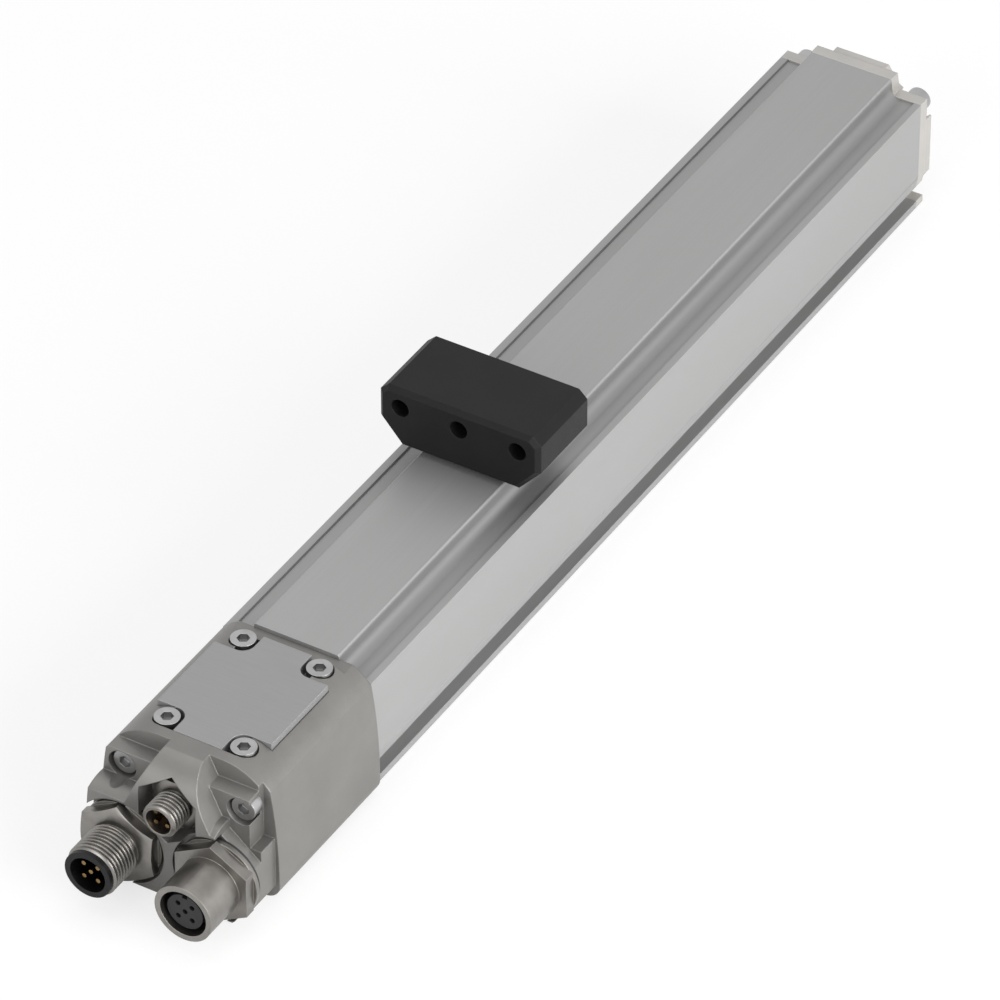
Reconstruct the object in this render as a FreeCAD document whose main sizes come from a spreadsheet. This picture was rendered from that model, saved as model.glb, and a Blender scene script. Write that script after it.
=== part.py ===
"""Magnetostrictive position sensor: a rectangular measuring profile with a floating position magnet.

Millimetres. X runs along the profile from the connector head to the end cap, Y to the left, Z up.
The origin is the middle of the profile's base face.
"""
import FreeCAD
import Part
import Sketcher
import math
import os

# Driving sizes

SIZES = (
    # profile section and length
    ("profile_length", 232.7),
    ("profile_half_width", 17.8),
    ("platform_height", 32.6),
    ("platform_half_width", 10.2),
    ("platform_edge", 0.3),
    ("shoulder_drop", 4.2),
    ("lip_width", 1.7),
    ("lip_step", 0.5),
    ("lip_slope", 0.3),
    ("groove_radius", 2.4),
    ("seam_height", 8.4),
    ("seam_depth", 0.25),
    ("strip_inset", 0.5),
    ("clamp_slot_top", 5.6),
    ("clamp_slot_depth", 3.0),
    ("flange_thickness", 1.7),
    ("flange_half_width", 17.6),
    # chamber for the sensing element, and the four screw ports
    ("chamber_half_width", 8.6),
    ("chamber_floor", 12.0),
    ("chamber_roof_wall", 3.2),
    ("chamber_corner", 1.5),
    ("port_top_y", 14.1),
    ("port_top_drop", 7.6),
    ("port_low_y", 12.5),
    ("port_low_z", 8.5),
    # connector head, outside
    ("head_barrel", 38.6),
    ("head_nose", 49.3),
    ("head_half_width", 19.75),
    ("head_shoulder_half_width", 17.95),
    ("head_shoulder_drop", 5.2),
    ("head_flat_half_width", 8.0),
    ("head_rise", 0.6),
    ("ledge_drop", 0.9),
    ("head_arch_radius", 13.1),
    ("head_side_radius", 143.0),
    ("head_foot_radius", 3.7),
    ("nose_wall_front", 40.1),
    ("nose_wall_depth", 4.4),
    ("nose_face_front", 43.7),
    ("nose_face_depth", 4.6),
    ("nose_shoulder_depth", 11.2),
    ("nose_shoulder_radius", 8.0),
    ("nose_toe_depth", 12.3),
    ("rib_half_width", 4.6),
    ("rib_foot_half_width", 10.2),
    ("rib_front", 42.4),
    ("rib_toe_depth", 9.4),
    ("rib_bulge_radius", 9.5),
    ("facet_ridge_y", 11.4),
    ("facet_ridge_rise", 9.8),
    ("facet_slope", 0.86),
    ("nose_inset", 1.0),
    ("flank_y", 16.2),
    ("flank_below_port", 8.8),
    # connector head, inside
    ("head_chamber_half_width", 15.6),
    ("head_chamber_top_half_width", 11.6),
    ("head_chamber_step", 19.5),
    ("head_chamber_floor", 3.4),
    ("head_roof_wall", 6.0),
    ("front_wall_back", 38.4),
    ("rear_wall", 3.0),
    ("screw_block_height", 3.2),
    ("window_start", 9.6),
    ("window_end", 30.4),
    ("window_half_width", 7.6),
    # cover plate
    ("cover_start", 3.2),
    ("cover_end", 37.4),
    ("cover_half_width", 13.6),
    ("cover_pad", 3.0),
    ("cover_flange", 1.0),
    ("notch_length", 6.4),
    ("notch_width", 7.85),
    ("notch_corner", 2.8),
    ("lug_radius", 2.9),
    ("fit_gap", 0.12),
    ("gasket_thickness", 0.6),
    # cover screws and head screws, M3 with a socket
    ("cover_screw_front", 34.35),
    ("cover_screw_back", 5.7),
    ("cover_screw_y", 9.15),
    ("screw_head_radius", 2.75),
    ("screw_head_height", 3.0),
    ("screw_shank_radius", 1.5),
    ("socket_across", 2.5),
    ("socket_depth", 1.6),
    ("cover_screw_length", 5.5),
    ("head_screw_seat", 39.7),
    ("head_screw_bore", 3.3),
    ("head_screw_hold", 10.0),
    ("screw_clearance", 0.15),
    # round connectors in the head: offset of the two large ones, heights, seats and tips
    ("large_axis_y", 11.37),
    ("large_axis_z", 10.0),
    ("small_axis_drop", 10.8),
    ("large_recess_radius", 10.3),
    ("large_seat", 46.7),
    ("small_seat", 43.9),
    ("small_recess_across", 13.6),
    ("large_seal_radius", 8.9),
    ("large_seal_thickness", 0.9),
    ("large_flange_radius", 9.35),
    ("large_flange_thickness", 1.0),
    ("large_hex_across", 17.0),
    ("large_hex_thickness", 2.6),
    ("large_shank_radius", 5.6),
    ("large_bore_radius", 4.9),
    ("thread_bevel", 0.5),
    ("plug_thread_radius", 6.0),
    ("plug_neck_radius", 5.4),
    ("plug_neck_length", 1.0),
    ("plug_thread_end", 60.4),
    ("plug_tip", 61.5),
    ("plug_cavity_radius", 4.2),
    ("plug_cavity_depth", 8.5),
    ("socket_barrel_radius", 6.75),
    ("socket_thread_radius", 5.45),
    ("socket_tip", 61.5),
    ("socket_insert_radius", 4.2),
    ("socket_insert_tip", 60.7),
    ("socket_depth_inside", 9.0),
    ("contact_setback", 6.7),
    ("key_slot_width", 1.2),
    ("key_slot_depth", 0.8),
    ("large_pin_radius", 0.5),
    ("large_pin_circle", 2.35),
    ("contact_hole_radius", 0.6),
    ("small_seal_radius", 5.2),
    ("small_seal_thickness", 0.4),
    ("small_hex_across", 11.0),
    ("small_hex_thickness", 1.7),
    ("small_shank_radius", 4.4),
    ("small_thread_radius", 4.0),
    ("small_tip", 52.4),
    ("small_bore_radius", 2.95),
    ("small_cavity_depth", 6.0),
    ("small_pin_radius", 0.5),
    ("small_pin_circle", 1.9),
    ("pin_setback", 1.2),
    # boards in the head
    ("board_clearance", 0.8),
    ("board_thickness", 1.6),
    ("board_gap", 0.3),
    ("board_below_wire", 9.4),
    ("main_board_end", 4.0),
    ("standoff_across", 4.5),
    ("board_screw_radius", 1.0),
    ("board_screw_head_radius", 1.9),
    ("board_screw_head_height", 1.3),
    ("board_screw_length", 5.0),
    ("header_length", 2.5),
    ("header_width", 15.0),
    ("header_height", 2.5),
    ("chip_side", 8.0),
    ("chip_height", 1.2),
    ("chip_spacing", 2.5),
    ("can_radius", 1.6),
    ("can_height", 4.0),
    ("standoff_front", 31.0),
    ("standoff_back", 7.0),
    ("standoff_y", 12.4),
    # sensing element
    ("wire_drop", 8.6),
    ("wire_radius", 0.4),
    ("wire_start", 14.4),
    ("wire_end_margin", 7.0),
    ("wire_end_bare", 1.5),
    ("wire_clearance", 0.2),
    ("tube_radius", 1.6),
    ("tube_bore", 0.9),
    ("tube_start", 1.5),
    ("return_wire_y", 3.4),
    ("return_wire_radius", 0.35),
    ("carrier_start", 1.2),
    ("carrier_end_margin", 3.0),
    ("carrier_wall", 1.6),
    ("carrier_top", 2.2),
    ("damper_radius", 2.4),
    ("damper_length", 16.0),
    ("damper_gap", 0.5),
    ("clamp_length", 4.0),
    ("clamp_width", 9.0),
    ("clamp_cap", 2.2),
    ("coil_start", 3.4),
    ("coil_length", 4.6),
    ("coil_radius", 2.3),
    ("bobbin_flange", 0.7),
    ("bobbin_flange_radius", 2.9),
    ("bobbin_core_radius", 1.2),
    ("bobbin_foot_width", 4.6),
    ("bobbin_foot", 1.0),
    ("bias_magnet_length", 3.0),
    ("bias_magnet_side", 2.0),
    # end cap
    ("cap_plate", 2.9),
    ("cap_block", 2.5),
    ("cap_slope", 0.6),
    ("cap_block_inset", 0.1),
    ("cap_block_top_drop", 0.6),
    ("cap_step_half_width", 6.6),
    ("cap_shelf_drop", 4.6),
    ("cap_shelf_half_width", 9.2),
    ("cap_block_shoulder_drop", 10.4),
    ("cap_block_low_corner", 7.3),
    ("cap_block_low_half_width", 14.5),
    ("cap_block_bottom", 2.9),
    ("cap_screw_relief", 4.2),
    ("washer_thickness", 0.5),
    ("washer_radius", 3.0),
    ("cap_screw_length", 10.0),
    ("seal_groove", 1.0),
    ("seal_width", 1.0),
    ("seal_margin", 0.4),
    # floating position magnet
    ("magnet_centre", 74.2),
    ("magnet_length", 20.8),
    ("magnet_half_width", 19.5),
    ("magnet_lift", 0.9),
    ("magnet_height", 14.9),
    ("magnet_bevel", 1.0),
    ("magnet_foot_half_width", 14.2),
    ("magnet_side_low", 6.0),
    ("magnet_side_high", 12.9),
    ("magnet_top_half_width", 17.4),
    ("magnet_hole_radius", 2.15),
    ("magnet_hole_pitch", 14.2),
    ("magnet_hole_height", 10.2),
    ("pole_length", 12.0),
    ("pole_width", 8.0),
    ("pole_height", 4.4),
    ("pole_offset", 6.0),
    ("pole_lid", 1.0),
    ("pole_lid_rim", 1.2),
)


class Size:
    """A length with its present value and the sheet expression that gives it."""

    def __init__(self, value, text):
        self.value = float(value)
        self.text = text

    def join(self, other, sign, value):
        return Size(value, "(%s %s %s)" % (self.text, sign, other.text))

    def __add__(self, other):
        other = as_size(other)
        return self.join(other, "+", self.value + other.value)

    def __sub__(self, other):
        other = as_size(other)
        return self.join(other, "-", self.value - other.value)

    def __mul__(self, other):
        other = as_size(other)
        return self.join(other, "*", self.value * other.value)

    def __truediv__(self, other):
        other = as_size(other)
        return self.join(other, "/", self.value / other.value)

    def __neg__(self):
        return Size(-self.value, "(0 - %s)" % self.text)


def as_size(value):
    """Give a plain number the form of a Size."""
    return value if isinstance(value, Size) else Size(value, repr(value))


ZERO = Size(0, "0")
ROOT_TWO = Size(math.sqrt(2), "sqrt(2)")
ROOT_THREE = Size(math.sqrt(3), "sqrt(3)")

doc = FreeCAD.newDocument("PositionSensor")
sheet = doc.addObject("Spreadsheet::Sheet", "Sizes")
SIZE = {}
for row, (name, number) in enumerate(SIZES, start=1):
    sheet.set("A%d" % row, name)
    sheet.set("B%d" % row, str(number))
    sheet.setAlias("B%d" % row, name)
    SIZE[name] = Size(number, "Sizes." + name)
doc.recompute()


class Sheet:
    """The sizes of the sheet by name, such as S.profile_length."""

    def __getattr__(self, name):
        return SIZE[name]


S = Sheet()
HEAD_JOINT = -S.profile_length / 2
CAP_JOINT = S.profile_length / 2
SHOULDER = S.platform_height - S.shoulder_drop
CHAMBER_ROOF = S.platform_height - S.chamber_roof_wall
PORT_TOP = S.platform_height - S.port_top_drop
WIRE_HEIGHT = S.platform_height - S.wire_drop
HEAD_TOP = S.platform_height + S.head_rise
HEAD_ROOF = HEAD_TOP - S.head_roof_wall
SCREW_BLOCK_LOW = HEAD_ROOF - S.screw_block_height
SMALL_AXIS = HEAD_TOP - S.small_axis_drop
FLOOR = HEAD_TOP - S.cover_pad - S.cover_flange
NODES = []


# Building blocks

def bind(item, path, size):
    """Tie one property of an object to the sheet."""
    item.setExpression(path, as_size(size).text)


def place(item, x=ZERO, y=ZERO, z=ZERO):
    for axis, size in (("x", x), ("y", y), ("z", z)):
        bind(item, ".Placement.Base." + axis, size)


def node(item, label):
    """Name a finished sub-part, which is written to its own file."""
    item.Label = label
    NODES.append(item)
    return item


def new_body(label, x=ZERO, y=ZERO, z=ZERO):
    body = doc.addObject("PartDesign::Body", "Body_" + label)
    place(body, x, y, z)
    return node(body, label)


def sketch_on(body, plane, offset=ZERO):
    """A sketch on one of the body's own origin planes, moved along the plane's normal."""
    sketch = body.newObject("Sketcher::SketchObject", "Sketch")
    support = [item for item in body.Origin.OriginFeatures if item.Role == plane + "_Plane"][0]
    sketch.AttachmentSupport = [(support, "")]
    sketch.MapMode = "FlatFace"
    bind(sketch, ".AttachmentOffset.Base.z", offset)
    return sketch


def pin_down(sketch, geometry, point, across, up):
    """Hold one point of a sketch at the two coordinates."""
    for kind, size, axis in (("DistanceX", across, -2), ("DistanceY", up, -1)):
        if size.text == "0":
            sketch.addConstraint(Sketcher.Constraint("PointOnObject", geometry, point, axis))
        else:
            index = sketch.addConstraint(Sketcher.Constraint(kind, -1, 1, geometry, point, size.value))
            bind(sketch, "Constraints[%d]" % index, size)


def arc_between(start, end, radius):
    """A short arc; a positive radius turns left on the way from start to end."""
    chord = end - start
    middle = (start + end) * 0.5
    left = FreeCAD.Vector(-chord.y, chord.x, 0).normalize()
    rise = math.sqrt(radius * radius - chord.Length ** 2 / 4)
    centre = middle + left * math.copysign(rise, radius)
    first, last = (start, end) if radius > 0 else (end, start)
    angles = [math.atan2(p.y - centre.y, p.x - centre.x) for p in (first, last)]
    circle = Part.Circle(centre, FreeCAD.Vector(0, 0, 1), abs(radius))
    return Part.ArcOfCircle(circle, angles[0], angles[1])


def outline(sketch, corners):
    """A closed outline through the corners: (across, up), or (across, up, radius of the arc that follows)."""
    corners = [[as_size(size) for size in corner] for corner in corners]
    spots = [FreeCAD.Vector(corner[0].value, corner[1].value, 0) for corner in corners]
    start_at = sketch.GeometryCount
    ends = []
    for index, corner in enumerate(corners):
        start, end = spots[index], spots[(index + 1) % len(spots)]
        if len(corner) == 2:
            sketch.addGeometry(Part.LineSegment(start, end), False)
            ends.append((1, 2))
        else:
            sketch.addGeometry(arc_between(start, end, corner[2].value), False)
            ends.append((1, 2) if corner[2].value > 0 else (2, 1))
    for index, corner in enumerate(corners):
        following = (index + 1) % len(corners)
        sketch.addConstraint(Sketcher.Constraint(
            "Coincident", start_at + index, ends[index][1], start_at + following, ends[following][0]))
    for index, corner in enumerate(corners):
        pin_down(sketch, start_at + index, ends[index][0], corner[0], corner[1])
        if len(corner) == 3:
            radius = corner[2] if corner[2].value > 0 else -corner[2]
            number = sketch.addConstraint(Sketcher.Constraint("Radius", start_at + index, radius.value))
            bind(sketch, "Constraints[%d]" % number, radius)


def circle(sketch, across, up, radius):
    geometry = sketch.addGeometry(
        Part.Circle(FreeCAD.Vector(across.value, up.value, 0), FreeCAD.Vector(0, 0, 1), radius.value), False)
    pin_down(sketch, geometry, 3, across, up)
    index = sketch.addConstraint(Sketcher.Constraint("Radius", geometry, radius.value))
    bind(sketch, "Constraints[%d]" % index, radius)


def rectangle(sketch, left, right, low, high):
    outline(sketch, [(left, low), (right, low), (right, high), (left, high)])


def rounded_rectangle(sketch, left, right, low, high, corner):
    outline(sketch, [
        (left + corner, low), (right - corner, low, corner),
        (right, low + corner), (right, high - corner, corner),
        (right - corner, high), (left + corner, high, corner),
        (left, high - corner), (left, low + corner, corner)])


def mirrored(corners):
    """Complete a right half, listed from the bottom up, with its mirror image on the left."""
    right = [tuple(as_size(size) for size in corner) for corner in corners]
    left = []
    for index in range(len(right) - 1, -1, -1):
        corner = (-right[index][0], right[index][1])
        arc_before = right[index - 1][2:] if index > 0 else ()
        left.append(corner + arc_before)
    return right + left


def hexagon(sketch, across_flats, point_up=True, y=ZERO, z=ZERO):
    """A regular hexagon with a corner at the top, or a flat at the top."""
    half = across_flats / 2
    corner = across_flats / ROOT_THREE
    spots = [(ZERO, corner), (-half, corner / 2), (-half, -corner / 2),
             (ZERO, -corner), (half, -corner / 2), (half, corner / 2)]
    if not point_up:
        spots = [(-b, a) for a, b in spots]
    outline(sketch, [(y + a, z + b) for a, b in spots])


def pad(body, sketch, length, backwards=False):
    feature = body.newObject("PartDesign::Pad", "Pad")
    feature.Profile = sketch
    bind(feature, "Length", length)
    feature.Reversed = backwards
    doc.recompute()
    return feature


def pocket(body, sketch, depth=None, forwards=False):
    """Cut a sketch into the body against its normal or along it; no depth goes right through."""
    before = body.Shape.Volume
    feature = body.newObject("PartDesign::Pocket", "Pocket")
    feature.Profile = sketch
    feature.Reversed = forwards
    if depth is None:
        feature.Type = "ThroughAll"
    else:
        bind(feature, "Length", depth)
    doc.recompute()
    if not body.Shape.Volume < before - 1e-6:
        raise RuntimeError("a pocket of %s cuts nothing" % body.Label)
    return feature


def turn(body, corners):
    """A solid of revolution about the body's own X axis, from corners (along, radius)."""
    sketch = sketch_on(body, "XZ")
    outline(sketch, corners)
    feature = body.newObject("PartDesign::Revolution", "Revolution")
    feature.Profile = sketch
    feature.ReferenceAxis = (sketch, ["H_Axis"])
    feature.Angle = 360
    doc.recompute()
    return feature


def chamfer(body, feature, size, wanted):
    """Bevel the edges of a feature that the test accepts."""
    names = ["Edge%d" % (i + 1) for i, edge in enumerate(feature.Shape.Edges) if wanted(edge)]
    bevel = body.newObject("PartDesign::Chamfer", "Chamfer")
    bevel.Base = (feature, names)
    bind(bevel, "Size", size)
    doc.recompute()
    return bevel


def rod(x, y, z, radius, length, name="Rod"):
    """A cylinder along X, from x towards +X."""
    item = doc.addObject("Part::Cylinder", name)
    item.Placement.Rotation = FreeCAD.Rotation(FreeCAD.Vector(0, 1, 0), 90)
    bind(item, "Radius", radius)
    bind(item, "Height", length)
    place(item, x, y, z)
    return item


def post(x, y, z, radius, length, name="Post"):
    """A cylinder that stands on z."""
    item = doc.addObject("Part::Cylinder", name)
    bind(item, "Radius", radius)
    bind(item, "Height", length)
    place(item, x, y, z)
    return item


def block(x, y, z, long_side, wide_side, high_side, name="Block"):
    """A box from its lowest corner."""
    item = doc.addObject("Part::Box", name)
    for side, size in (("Length", long_side), ("Width", wide_side), ("Height", high_side)):
        bind(item, side, size)
    place(item, x, y, z)
    return item


def centred_block(x, y, z, long_side, wide_side, high_side, name="Block"):
    """A box that stands on z and is centred on y."""
    return block(x, y - wide_side / 2, z, long_side, wide_side, high_side, name)


def fuse(*parts):
    item = doc.addObject("Part::MultiFuse", "Fuse")
    item.Shapes = list(parts)
    return item


def cut(base, *tools):
    """The base without the tools."""
    item = doc.addObject("Part::Cut", "Cut")
    item.Base = base
    item.Tool = tools[0] if len(tools) == 1 else fuse(*tools)
    return item


def group(parts, label):
    """Separate like pieces that share one node."""
    item = doc.addObject("Part::Compound", "Group_" + label)
    item.Links = list(parts)
    return node(item, label)


# Measuring profile

def profile_corners():
    half = S.profile_half_width
    floor = SHOULDER - S.lip_step
    wall = S.platform_half_width
    return [
        (S.flange_half_width, ZERO),
        (S.flange_half_width, S.flange_thickness),
        (S.flange_half_width - S.clamp_slot_depth, S.flange_thickness),
        (S.flange_half_width - S.clamp_slot_depth, S.clamp_slot_top),
        (half - S.strip_inset, S.clamp_slot_top),
        (half, S.seam_height - S.seam_depth),
        (half - S.seam_depth, S.seam_height),
        (half, S.seam_height + S.seam_depth),
        (half, SHOULDER),
        (half - S.lip_width, SHOULDER),
        (half - S.lip_width - S.lip_slope, floor),
        (wall + S.groove_radius, floor, -S.groove_radius),
        (wall, floor + S.groove_radius),
        (wall, S.platform_height - S.platform_edge),
        (wall - S.platform_edge, S.platform_height)]


def make_profile():
    body = new_body("profile_housing", HEAD_JOINT)
    section = sketch_on(body, "YZ")
    outline(section, mirrored(profile_corners()))
    pad(body, section, S.profile_length)
    chamber = sketch_on(body, "YZ")
    rounded_rectangle(chamber, -S.chamber_half_width, S.chamber_half_width,
                      S.chamber_floor, CHAMBER_ROOF, S.chamber_corner)
    pocket(body, chamber, forwards=True)
    holes = sketch_on(body, "YZ")
    cap_circles(holes, S.screw_shank_radius)
    pocket(body, holes, forwards=True)


# Connector head

def head_corners():
    return [
        (S.head_half_width - S.head_foot_radius, ZERO, S.head_foot_radius),
        (S.head_half_width, S.head_foot_radius, S.head_side_radius),
        (S.head_shoulder_half_width, HEAD_TOP - S.head_shoulder_drop, S.head_arch_radius),
        (S.head_flat_half_width, HEAD_TOP)]


def round_nose(body):
    """The nose steps down in front of a crescent wall, with a flared rib in the middle."""
    above = HEAD_TOP * 2
    beyond = S.head_nose * 2
    toe = HEAD_TOP - S.nose_toe_depth
    rib_toe = HEAD_TOP - S.rib_toe_depth
    steps = sketch_on(body, "XZ", S.head_half_width)
    outline(steps, [
        (-S.nose_wall_front, HEAD_TOP - S.nose_wall_depth),
        (-S.nose_face_front, HEAD_TOP - S.nose_face_depth),
        (-S.nose_face_front, HEAD_TOP - S.nose_shoulder_depth, S.nose_shoulder_radius),
        (-S.head_nose, toe),
        (-beyond, toe),
        (-beyond, above),
        (-S.nose_wall_front, above)])
    pocket(body, steps)
    rib = sketch_on(body, "YZ", -S.nose_wall_front)
    outline(rib, mirrored([(S.rib_foot_half_width, toe), (S.rib_half_width, HEAD_TOP)]))
    pad(body, rib, S.head_nose - S.nose_wall_front, backwards=True)
    bulge = sketch_on(body, "XZ", S.head_half_width)
    outline(bulge, [
        (-S.rib_front, HEAD_TOP, S.rib_bulge_radius),
        (-S.head_nose, rib_toe),
        (-beyond, rib_toe),
        (-beyond, above),
        (-S.rib_front, above)])
    pocket(body, bulge)


def cut_nose_flank(body):
    """Cut the right side of the nose back beside the screw, and to a slanting facet in front of it."""
    out = S.head_half_width * 2
    ridge = S.large_axis_z + S.facet_ridge_rise
    facet = sketch_on(body, "YZ", -S.nose_face_front)
    outline(facet, [
        (-S.facet_ridge_y, ridge),
        (-S.facet_ridge_y, HEAD_TOP * 2),
        (-out, HEAD_TOP * 2),
        (-out, ridge - (out - S.facet_ridge_y) * S.facet_slope)])
    pocket(body, facet)
    flank = sketch_on(body, "YZ", -S.head_barrel)
    rectangle(flank, -out, -S.flank_y, PORT_TOP - S.flank_below_port, HEAD_TOP * 2)
    pocket(body, flank)
    side = sketch_on(body, "YZ", -S.head_barrel)
    inner = S.head_half_width - S.nose_inset
    outline(side, [
        (-inner, S.head_foot_radius),
        (-inner, HEAD_TOP * 2),
        (-out, HEAD_TOP * 2),
        (-out, -S.head_foot_radius),
        (S.head_foot_radius * 2 - inner, -S.head_foot_radius)])
    pocket(body, side)


def cut_back_ledge(body):
    """The flat ledge behind the cover, a little lower than the profile's platform."""
    ledge = sketch_on(body, "XY", S.platform_height - S.ledge_drop)
    rectangle(ledge, -S.cover_start, S.head_half_width, -S.head_half_width, S.head_half_width)
    pocket(body, ledge, forwards=True)


def bore_head(body):
    """Seats and bores of the three connectors, and of the two long screws."""
    for y in (S.large_axis_y, -S.large_axis_y):
        seat = sketch_on(body, "YZ", -S.large_seat)
        circle(seat, y, S.large_axis_z, S.large_recess_radius)
        pocket(body, seat)
        bore = sketch_on(body, "YZ", -S.front_wall_back)
        circle(bore, y, S.large_axis_z, S.large_shank_radius)
        pocket(body, bore)
    seat = sketch_on(body, "YZ", -S.small_seat)
    hexagon(seat, S.small_recess_across, z=SMALL_AXIS)
    pocket(body, seat)
    bore = sketch_on(body, "YZ", -S.front_wall_back)
    circle(bore, ZERO, SMALL_AXIS, S.small_shank_radius)
    pocket(body, bore)
    for y in (S.port_top_y, -S.port_top_y):
        counterbore = sketch_on(body, "YZ", -S.head_screw_seat)
        circle(counterbore, y, PORT_TOP, S.head_screw_bore)
        pocket(body, counterbore)
        hole = sketch_on(body, "YZ")
        circle(hole, y, PORT_TOP, S.screw_shank_radius + S.screw_clearance)
        pocket(body, hole)


def chamber_corners(gap):
    """The head's chamber: wide below the screw ports and narrower between them."""
    wide = S.head_chamber_half_width - gap
    narrow = S.head_chamber_top_half_width - gap
    low = S.head_chamber_floor + gap
    corner = S.chamber_corner
    return [
        (wide - corner, low, corner),
        (wide, low + corner),
        (wide, S.head_chamber_step - gap),
        (narrow, S.head_chamber_step - gap)]


def hollow_head(body):
    """The chamber, its opening to the profile, and the blocks that take the cover screws."""
    chamber = sketch_on(body, "YZ", -S.rear_wall)
    outline(chamber, mirrored(chamber_corners(ZERO) + [(S.head_chamber_top_half_width, HEAD_ROOF)]))
    pocket(body, chamber, S.front_wall_back - S.rear_wall)
    opening = sketch_on(body, "YZ")
    rounded_rectangle(opening, -S.chamber_half_width, S.chamber_half_width,
                      S.chamber_floor, HEAD_ROOF, S.chamber_corner)
    pocket(body, opening, S.rear_wall)
    reach = S.screw_head_radius
    for far, near in ((S.front_wall_back, S.cover_screw_front - reach),
                      (S.cover_screw_back + reach, S.rear_wall)):
        for side in (1, -1):
            lug = sketch_on(body, "XY", SCREW_BLOCK_LOW)
            inner = (S.cover_screw_y - reach) * side
            outer = S.head_chamber_top_half_width * side
            low, high = (inner, outer) if side > 0 else (outer, inner)
            rectangle(lug, -far, -near, low, high)
            pad(body, lug, HEAD_ROOF - SCREW_BLOCK_LOW)


def screw_corners(sketch, gap):
    """The open corners beside the cover screws, towards the middle of the plate's edges."""
    inner = S.cover_half_width - S.notch_width - gap
    for far, near in ((S.cover_end, S.cover_end - S.notch_length),
                      (S.cover_start + S.notch_length, S.cover_start)):
        rectangle(sketch, -far - gap, -near + gap, inner, S.cover_screw_y)
        rectangle(sketch, -far - gap, -near + gap, -S.cover_screw_y, -inner)


def seat_cover(body):
    """The sunk seat of the cover with its screw corners, window and tapped holes."""
    gap = S.fit_gap
    low = FLOOR - S.gasket_thickness
    plate = sketch_on(body, "XY", low)
    cover_outline(plate, gap)
    pocket(body, plate, forwards=True)
    corners = sketch_on(body, "XY", low)
    screw_corners(corners, gap)
    pocket(body, corners, forwards=True)
    rounds = sketch_on(body, "XY", low)
    cover_screw_circles(rounds, S.lug_radius + gap)
    pocket(body, rounds, forwards=True)
    window = sketch_on(body, "XY", HEAD_TOP)
    rounded_rectangle(window, -S.window_end, -S.window_start,
                      -S.window_half_width, S.window_half_width, S.chamber_corner)
    pocket(body, window, S.head_roof_wall)
    taps = sketch_on(body, "XY", FLOOR)
    cover_screw_circles(taps, S.screw_shank_radius)
    pocket(body, taps, S.cover_screw_length - S.cover_flange)


def cover_screw_circles(sketch, radius):
    for x in (S.cover_screw_front, S.cover_screw_back):
        for y in (S.cover_screw_y, -S.cover_screw_y):
            circle(sketch, -x, y, radius)


def make_head():
    body = new_body("connector_head", HEAD_JOINT)
    section = sketch_on(body, "YZ")
    outline(section, mirrored(head_corners()))
    pad(body, section, S.head_nose, backwards=True)
    round_nose(body)
    cut_nose_flank(body)
    bore_head(body)
    hollow_head(body)
    cut_back_ledge(body)
    seat_cover(body)
    groove = sketch_on(body, "YZ")
    ring_outline(groove)
    pocket(body, groove, S.seal_groove)


def ring_outline(sketch):
    """Both edges of a seal that runs round the profile's chamber."""
    half = S.chamber_half_width
    for grow in (S.seal_margin + S.seal_width, S.seal_margin):
        rounded_rectangle(sketch, -half - grow, half + grow,
                          S.chamber_floor - grow, CHAMBER_ROOF + grow, S.chamber_corner + grow)


def make_ring_seal(label, x, backwards):
    body = new_body(label, x)
    sketch = sketch_on(body, "YZ")
    ring_outline(sketch)
    pad(body, sketch, S.seal_groove, backwards=backwards)


# Cover plate with its gasket and screws

def cover_outline(sketch, gap=ZERO):
    """The cover with a notch at each corner, or its outline with a gap all round."""
    start, end = -S.cover_end - gap, -S.cover_start + gap
    half = S.cover_half_width + gap
    near = start + S.notch_length
    far = end - S.notch_length
    inner = half - S.notch_width
    r = S.notch_corner - gap
    outline(sketch, [
        (near, -half), (far, -half), (far, -inner - r, -r), (far + r, -inner),
        (end, -inner), (end, inner), (far + r, inner, -r), (far, inner + r),
        (far, half), (near, half), (near, inner + r, -r), (near - r, inner),
        (start, inner), (start, -inner), (near - r, -inner, -r), (near, -inner - r)])


def make_cover():
    body = new_body("cover_plate", HEAD_JOINT)
    raised = sketch_on(body, "XY", FLOOR)
    cover_outline(raised)
    pad(body, raised, S.cover_flange + S.cover_pad)
    lugs = sketch_on(body, "XY", FLOOR)
    cover_screw_circles(lugs, S.lug_radius)
    pad(body, lugs, S.cover_flange)
    bridges = sketch_on(body, "XY", FLOOR)
    inner = S.cover_half_width - S.notch_width - S.notch_corner
    for far, near in ((S.cover_screw_front, S.cover_end - S.notch_length - S.notch_corner),
                      (S.cover_start + S.notch_length + S.notch_corner, S.cover_screw_back)):
        rectangle(bridges, -far, -near, inner, S.cover_screw_y)
        rectangle(bridges, -far, -near, -S.cover_screw_y, -inner)
    pad(body, bridges, S.cover_flange)
    holes = sketch_on(body, "XY", FLOOR)
    cover_screw_circles(holes, S.screw_shank_radius + S.screw_clearance)
    pocket(body, holes, forwards=True)
    seal = new_body("cover_seal", HEAD_JOINT)
    low = FLOOR - S.gasket_thickness
    sheet_outline = sketch_on(seal, "XY", low)
    cover_outline(sheet_outline)
    pad(seal, sheet_outline, S.gasket_thickness)
    corners = sketch_on(seal, "XY", low)
    screw_corners(corners, ZERO)
    pad(seal, corners, S.gasket_thickness)
    rounds = sketch_on(seal, "XY", low)
    cover_screw_circles(rounds, S.lug_radius)
    pad(seal, rounds, S.gasket_thickness)
    window = sketch_on(seal, "XY", low)
    rounded_rectangle(window, -S.window_end, -S.window_start,
                      -S.window_half_width, S.window_half_width, S.chamber_corner)
    pocket(seal, window, forwards=True)
    holes = sketch_on(seal, "XY", low)
    cover_screw_circles(holes, S.screw_shank_radius + S.screw_clearance)
    pocket(seal, holes, forwards=True)


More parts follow.
